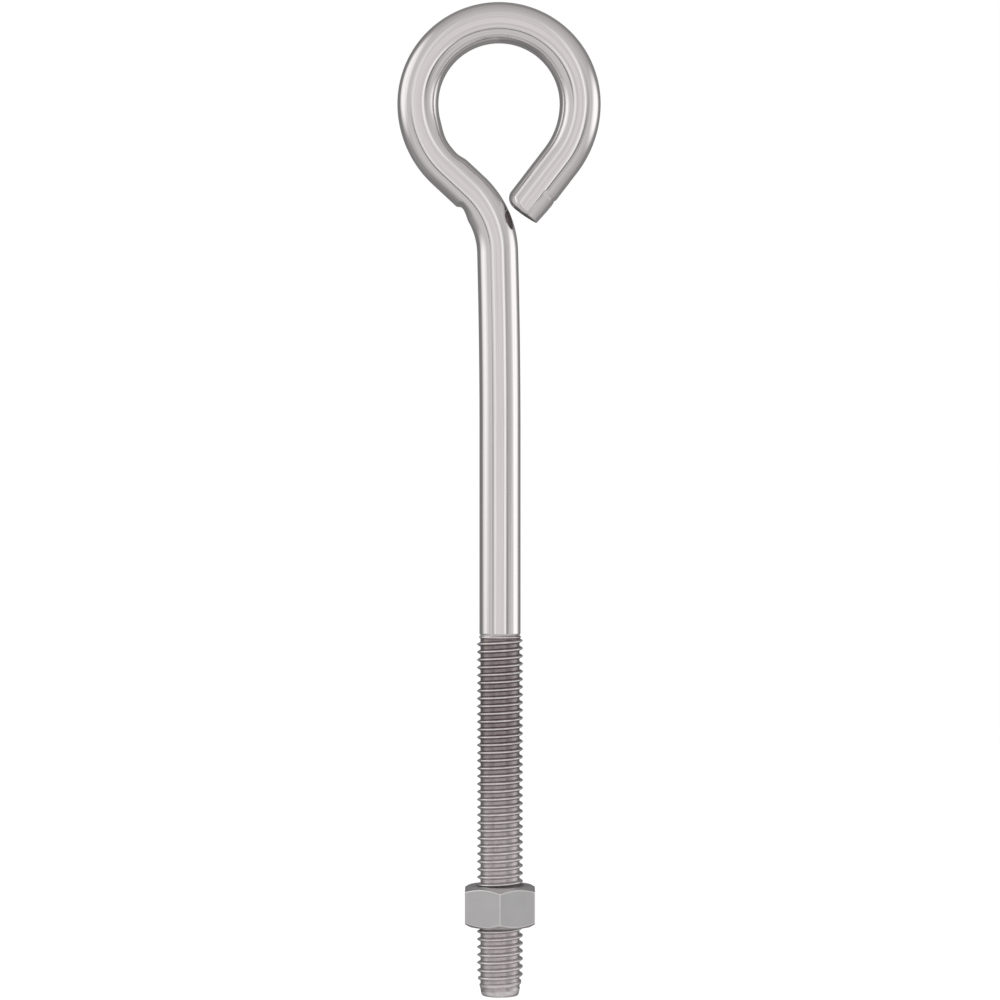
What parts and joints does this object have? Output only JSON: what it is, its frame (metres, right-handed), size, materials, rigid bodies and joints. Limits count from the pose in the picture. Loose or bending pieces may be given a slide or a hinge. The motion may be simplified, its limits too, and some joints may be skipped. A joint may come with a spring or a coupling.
{
  "type": "eye bolt with nut",
  "caption": "Bent-wire eye bolt: an open round eye on a long plain shank, a rolled right-hand thread at the other end, and a hex nut that screws along the thread.",
  "frame": {"origin": "centre of the threaded tip's end face, on the shank's axis", "axes": "+Z along the shank from the threaded tip to the eye; the eye lies in the XZ plane and its hole looks along Y; the wire's free end is on the +X side"},
  "size_m": [0.0416, 0.0164, 0.2032],
  "materials": {
    "drawn_steel": "bright drawn stainless steel",
    "nut_steel": "satin stainless steel"
  },
  "bodies": {
    "bolt": {"eye_bolt": "drawn_steel"},
    "nut_slide": {"nut_core_ring": "nut_steel"},
    "nut": {"hex_nut": "nut_steel"}
  },
  "joints": [
    {"name": "nut_travel", "type": "slide", "parent": "bolt", "child": "nut_slide", "axis": [0, 0, 1], "range_m": [-0.0227, 0.0491]},
    {"name": "nut_turn", "type": "hinge", "parent": "nut_slide", "child": "nut", "pos_m": [0, 0, 0.0184], "axis": [0, 0, 1], "range_deg": [-5130, 11100]}
  ],
  "couplings": [
    {"joint": "nut_travel", "follows": "nut_turn", "m_per_rad": 0.00025266}
  ]
}
